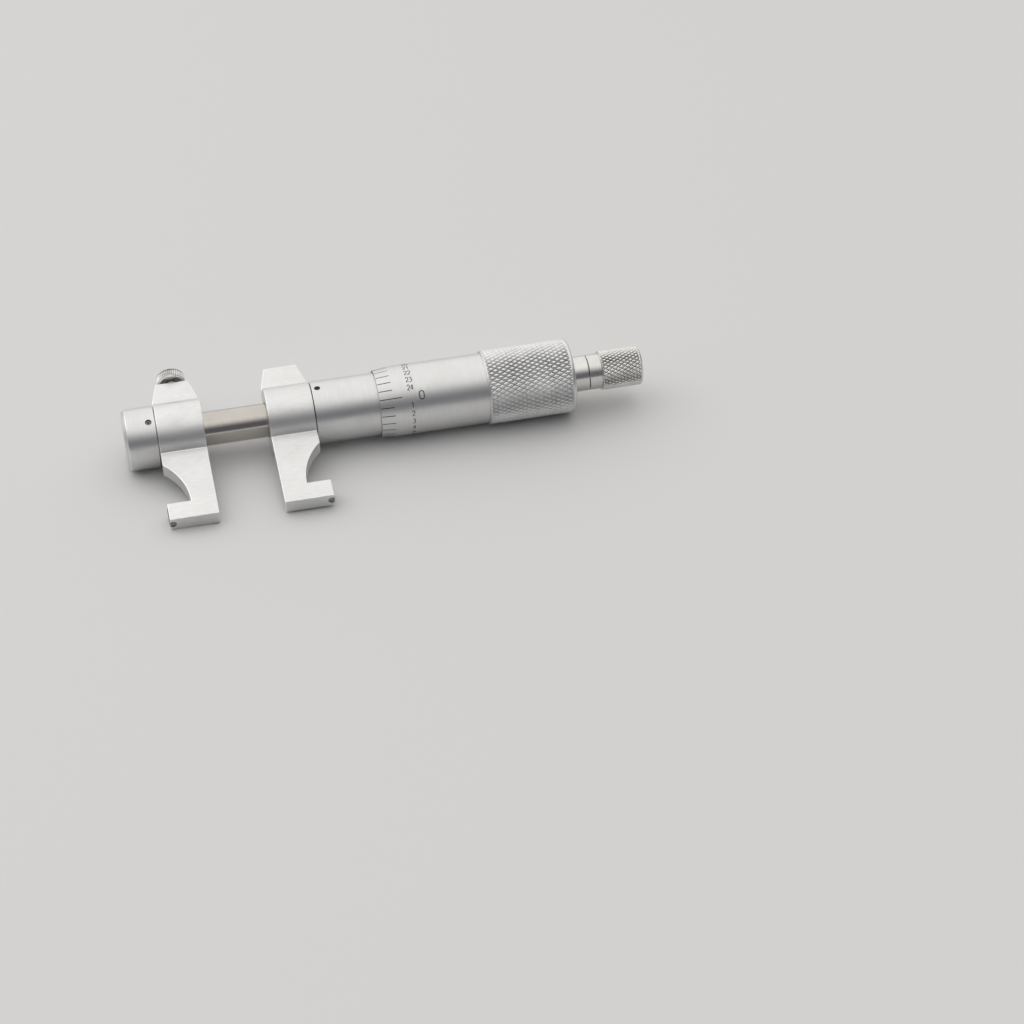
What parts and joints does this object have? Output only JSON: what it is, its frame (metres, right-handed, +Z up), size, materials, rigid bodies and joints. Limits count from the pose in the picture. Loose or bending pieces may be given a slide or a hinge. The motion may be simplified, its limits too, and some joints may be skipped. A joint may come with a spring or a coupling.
{
  "type": "inside micrometer",
  "caption": "Inside micrometer with caliper jaws on a guide rod, opened by a knurled thimble with a ratchet stop and locked by a knurled clamp screw.",
  "frame": {"origin": "bottom centre of the whole as it lies on a flat bench", "axes": "+X along the instrument from the end cap towards the ratchet knob, +Y away from the jaws' feet, +Z up"},
  "size_m": [0.125, 0.0462, 0.0182],
  "materials": {
    "satin_chrome": "satin",
    "ground_steel": "finely ground",
    "turned_steel": "bright turned",
    "dark_steel": "dark oiled",
    "brass": "plain",
    "carbide": "lapped"
  },
  "bodies": {
    "frame_body": {"fixed_jaw": "satin_chrome", "fixed_jaw_tip": "carbide", "inner_tube": "dark_steel", "graduated_sleeve": "satin_chrome", "adjusting_nut": "dark_steel", "guide_key": "brass"},
    "carriage": {"moving_jaw": "satin_chrome", "moving_jaw_tip": "carbide", "guide_rod": "ground_steel", "end_cap": "satin_chrome", "cap_set_screw": "dark_steel", "outer_thrust_washer": "brass", "inner_thrust_washer": "brass"},
    "screw_group": {"spindle": "ground_steel", "spindle_nut": "dark_steel", "thimble": "satin_chrome", "ratchet_base": "turned_steel", "ratchet_screw": "dark_steel"},
    "ratchet_group": {"ratchet_knob": "satin_chrome"},
    "ratchet_slider": {"ratchet_ring": "dark_steel", "ratchet_spring": "dark_steel"},
    "clamp_slider": {"clamp_plug": "brass"},
    "clamp_group": {"clamp_screw": "turned_steel"}
  },
  "joints": [
    {"name": "jaw_slide", "type": "slide", "parent": "frame_body", "child": "carriage", "axis": [0.9998, 0, 0.0181], "range_m": [-0.01245, 0.01295]},
    {"name": "thimble_turn", "type": "hinge", "parent": "carriage", "child": "screw_group", "pos_m": [-0.00225, 0.0047, 0.00844], "axis": [0.9998, 0, 0.0181], "range_deg": [-7059, 7342]},
    {"name": "ratchet_turn", "type": "hinge", "parent": "screw_group", "child": "ratchet_group", "pos_m": [0.04939, 0.0047, 0.00938], "axis": [0.9998, 0, 0.0181], "continuous": true},
    {"name": "ratchet_lift", "type": "slide", "parent": "ratchet_group", "child": "ratchet_slider", "axis": [0.9998, 0, 0.0181], "range_m": [0, 0.00045], "stiffness_N_per_m": 100},
    {"name": "clamp_slide", "type": "slide", "parent": "carriage", "child": "clamp_slider", "axis": [-0.0037, 0.9789, 0.2045], "range_m": [-0.0002, 0.001]},
    {"name": "clamp_turn", "type": "hinge", "parent": "clamp_slider", "child": "clamp_group", "pos_m": [-0.0492, 0.0047, 0.0076], "axis": [-0.0037, 0.9789, 0.2045], "range_deg": [-180, 900]}
  ],
  "couplings": [
    {"joint": "thimble_turn", "follows": "jaw_slide", "rad_per_m": 9894.8},
    {"joint": "clamp_turn", "follows": "clamp_slide", "rad_per_m": 15708}
  ]
}
